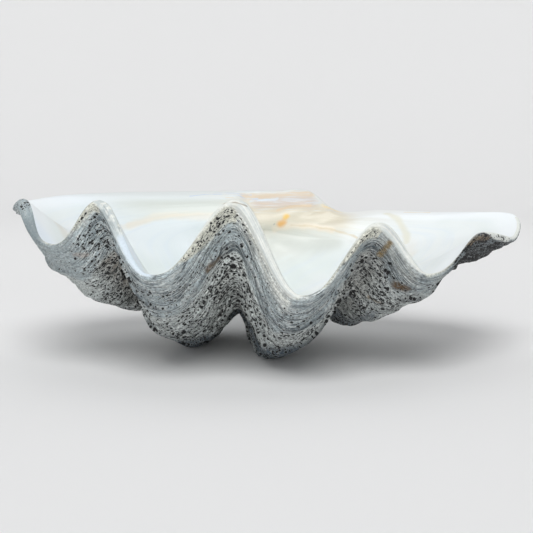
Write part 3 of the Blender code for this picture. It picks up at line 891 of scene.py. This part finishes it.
# Marks on the inside: the points of each in millimetres, its radius, colour and strength
INSIDE_MARKS = [
    ("the bowl's blue wall, left", [(-160, -150, 150), (-146, -120, 125)], 16, MARGIN_BLUE, 0.8),
    ("the left end's blue floor", [(-258, -76, 155), (-250, -75, 144)], 22, MARGIN_BLUE, 0.8),
    ("hinge, ivory", [(-20, 150, 152), (60, 144, 152), (88, 140, 152)], 22, IVORY, 0.9),
    # Painted shadow: a grey band below the hinge plate
    ("below the hinge plate, painted shadow", [(10, 132, 119), (34, 131, 119), (83, 124, 116)], 13, BACK_GREY_AND_SHADOW, 0.65),
    ("the scar's upper edge", [(-174, 107, 141), (-160, 116, 146), (-143, 123, 151), (-122, 128, 153),
                               (-80, 134, 151), (-40, 138, 150)], 5.0, BEIGE, 0.45),
    ("left end, the ivory fold", [(-265, 22, 165), (-256, 12, 161), (-248, 0, 152), (-238, -10, 142)], 10, IVORY, 0.4),
    ("hinge plate's lower edge, soft", [(10, 141, 134), (32, 139, 138), (64, 136, 137), (83, 132, 134)],
     4.0, BEIGE, 0.9),
    ("hinge plate's lower edge", [(32, 139, 138), (46, 138, 137), (64, 136, 137), (83, 132, 134),
                                  (97, 128, 131), (115, 120, 125)], 1.5, TAN, 0.6),
    ("right end, the cream curve", [(154, 137, 154), (166, 124, 150), (172, 113, 141), (175, 97, 129),
                                    (175, 88, 121)], 4.2, linear(224, 222, 204), 0.7),
    ("hinge block, pink", [(-8, 160, 168), (30, 158, 168), (53, 158, 168)], 11, PINK_GREY, 0.9),
    ("hinge block, the peach top", [(-30, 166, 174), (20, 168, 177), (57, 170, 178)], 6, PEACH, 0.75),
    ("hinge block, the tan streak", [(14, 147, 158), (39, 151, 162), (55, 152, 163)], 2.2, PEACH, 0.9),
    ("hinge block, the pale streak", [(-21, 160, 169), (5, 162, 170), (14, 163, 171)], 2.2, BLUE_WHITE, 0.9),
    ("back, the yellow edge", [(75, 160, 160), (97, 160, 158)], 4, linear(238, 218, 172), 0.8),
    ("back, the tan line", [(177, 136, 156), (206, 127, 157)], 1.8, BEIGE, 0.9),
    ("between the orange spots", [(19, 140, 142), (25, 141, 149)], 3.0, PEACH, 0.8),
    ("orange spot, lower", [(18, 140, 141), (21, 140, 142)], 4.6, ORANGE, 0.95),
    ("orange spot, upper", [(24, 140, 149), (25, 141, 150)], 3.3, linear(238, 196, 98), 0.9),
    ("back margin, a blue streak", [(-100, 152, 175), (-81, 158, 177), (-61, 161, 177), (-35, 162, 174),
                                    (-14, 164, 170)], 1.3, STREAK_BLUE, 0.8),
    ("back margin, another", [(-68, 168, 178), (-42, 166, 178), (-22, 170, 175)], 1.2, STREAK_BLUE, 0.7),
    ("the grey dot", [(9, 140, 140), (10, 140, 141)], 1.2, linear(150, 150, 148), 0.8),
]


def porcelain_finish():
    """The inside: glossy porcelain white with blue, ivory and peach tints, and a painted shadow below the hinge plate.
    """
    nodes = Nodes("porcelain_inside")
    inner = nodes.attribute("inner")
    broad = nodes.noise(0.080, 2.0)
    x, y, z = nodes.axis("X"), nodes.axis("Y"), nodes.axis("Z")
    layers = nodes.noise(0.090, 3.0, w=nodes.times(inner, 5.0))
    fibres = nodes.noise(0.030, 3.0, w=nodes.times(z, 12.0))

    tint = nodes.blend(nodes.rise(broad, 0.35, 0.65), PORCELAIN, GREEN_WHITE)
    tint = nodes.blend(nodes.times(nodes.rise(layers, 0.45, 0.70), 0.35), tint, BLUE_WHITE)
    back = nodes.times(nodes.rise(y, 0.10, 0.16), nodes.rise(x, -0.05, 0.02, 0.35, 1.0))
    tint = nodes.blend(nodes.times(back, nodes.rise(layers, 0.30, 0.60, 0.15, 0.65)), tint, IVORY)
    margin_white = nodes.times(nodes.rise(inner, 0.020, 0.090, 0.85, 0.0), nodes.rise(y, 0.09, 0.14, 1.0, 0.6))
    tint = nodes.blend(margin_white, tint, MARGIN_WHITE)
    left_back = nodes.times(nodes.rise(y, 0.05, 0.12), nodes.rise(x, -0.10, -0.04, 1.0, 0.0))
    tint = nodes.blend(nodes.times(left_back, 0.35), tint, BLUE_WHITE)
    dull_back = nodes.times(nodes.rise(y, 0.10, 0.135), nodes.rise(x, -0.045, -0.010, 1.0, 0.0),
                            nodes.rise(inner, 0.22, 0.28, 1.0, 0.0), nodes.rise(inner, 0.0, 0.10, 0.45, 1.0))
    tint = nodes.blend(nodes.times(dull_back, 0.85), tint, BACK_GREY_AND_SHADOW)
    bent_inner = nodes.plus(inner, nodes.rise(broad, 0.2, 0.8, -0.020, 0.020))
    faint_front = nodes.rise(y, -0.08, 0.06, 0.25, 1.0)
    scar = nodes.rise(nodes.maths("ABSOLUTE", nodes.minus(bent_inner, 0.235)), 0.004, 0.022, 1.0, 0.0)
    scar = nodes.times(scar, faint_front, nodes.rise(broad, 0.30, 0.60, 0.12, 0.42))
    tint = nodes.blend(scar, tint, BEIGE)
    smooth_place = shaken(nodes, 0.018, 0.0034)
    for _, points, radius, colour, strength in INSIDE_MARKS:
        mark = nodes.streak(points, radius, 0.7, smooth_place)
        tint = nodes.blend(nodes.times(mark, strength), tint, colour)
    hinge = nodes.streak([(-40, 165, 172), (65, 165, 172)], 26, 0.3)
    tint = nodes.blend(nodes.times(hinge, nodes.rise(fibres, 0.50, 0.66, 0.0, 0.45)), tint, BLUE_WHITE)
    tint = nodes.blend(nodes.times(hinge, nodes.rise(fibres, 0.34, 0.46, 0.45, 0.0)), tint, PEACH)
    nodes.feed(nodes.shader.inputs["Base Color"], tint)

    height = nodes.plus(nodes.times(layers, 0.5), nodes.times(hinge, fibres))
    nodes.bump(height, 0.0012)
    nodes.shader.inputs["Roughness"].default_value = 0.36
    nodes.shader.inputs["Coat Weight"].default_value = 0.18
    nodes.shader.inputs["Coat Roughness"].default_value = 0.18
    return nodes.material


FLOOR_REACH = 14.0
SWEEP_START = 1.6
SWEEP_RADIUS = 1.2
SWEEP_TOP = 4.0
SWEEP_STEPS = 24
FLOOR_TONE = 0.81
WALL_TONE = 0.675
FADE_Y = (0.8, 2.6)


def build_floor():
    """A pale floor that sweeps up behind the shell without an edge."""
    profile = [(-FLOOR_REACH, 0.0)]
    for i in range(SWEEP_STEPS + 1):
        angle = math.radians(90 * i / SWEEP_STEPS)
        profile.append((SWEEP_START + SWEEP_RADIUS * math.sin(angle),
                        SWEEP_RADIUS * (1 - math.cos(angle))))
    profile.append((SWEEP_START + SWEEP_RADIUS, SWEEP_TOP))
    points = [(side * FLOOR_REACH, y, z) for y, z in profile for side in (-1, 1)]
    faces = [(2 * i, 2 * i + 1, 2 * i + 3, 2 * i + 2) for i in range(len(profile) - 1)]
    mesh = bpy.data.meshes.new("floor")
    mesh.from_pydata(points, [], faces)
    mesh.shade_smooth()
    nodes = Nodes("pale_floor")
    tone = nodes.rise(nodes.axis("Y"), *FADE_Y, FLOOR_TONE, WALL_TONE)
    nodes.feed(nodes.shader.inputs["Base Color"], tone)
    nodes.shader.inputs["Roughness"].default_value = 0.9
    nodes.shader.inputs["Specular IOR Level"].default_value = 0.0
    mesh.materials.append(nodes.material)
    floor = bpy.data.objects.new("floor", mesh)
    bpy.context.scene.collection.objects.link(floor)


def add_sun(name, azimuth, elevation, strength, softness):
    """A soft studio light that is the same everywhere. Azimuth 0 comes from the front."""
    data = bpy.data.lights.new(name, "SUN")
    data.energy = strength
    data.angle = math.radians(softness)
    light = bpy.data.objects.new(name, data)
    a, e = math.radians(azimuth), math.radians(elevation)
    toward = Vector((-math.sin(a) * math.cos(e), -math.cos(a) * math.cos(e), math.sin(e)))
    light.rotation_euler = toward.to_track_quat("Z", "Y").to_euler()
    bpy.context.scene.collection.objects.link(light)


def light_studio():
    add_sun("overhead", 2, 54, 1.84, 36)
    add_sun("front", 6, 4, 1.39, 60)
    add_sun("back", 190, 60, 0.58, 60)
    world = bpy.data.worlds.new("studio")
    world.use_nodes = True
    background = world.node_tree.nodes["Background"]
    background.inputs["Color"].default_value = (0.95, 0.97, 1.0, 1.0)
    background.inputs["Strength"].default_value = 0.22
    bpy.context.scene.world = world
    bpy.context.scene.view_settings.view_transform = "Standard"


CAMERA_TARGET = Vector((-0.0008, -0.0060, 0.1055))
CAMERA_DISTANCE = 1.6
CAMERA_ELEVATION = math.radians(8)
CAMERA_LENS = 91.3


def place_camera():
    data = bpy.data.cameras.new("camera")
    data.lens = CAMERA_LENS
    camera = bpy.data.objects.new("camera", data)
    back = Vector((0.0, -math.cos(CAMERA_ELEVATION), math.sin(CAMERA_ELEVATION)))
    camera.location = CAMERA_TARGET + back * CAMERA_DISTANCE
    camera.rotation_euler = back.to_track_quat("Z", "Y").to_euler()
    bpy.context.scene.collection.objects.link(camera)
    bpy.context.scene.camera = camera


def main():
    shell = bpy.data.objects.new("clam_shell_grown", build_shell())
    shell.data.materials.append(weathered_finish())
    shell.data.materials.append(porcelain_finish())
    bpy.context.scene.collection.objects.link(shell)
    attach(shell, "root")
    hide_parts("clam_shell")
    build_floor()
    light_studio()
    place_camera()
    triangles = sum(len(face.vertices) - 2 for face in shell.data.polygons)
    print("triangles", triangles, "points", len(shell.data.vertices))


main()
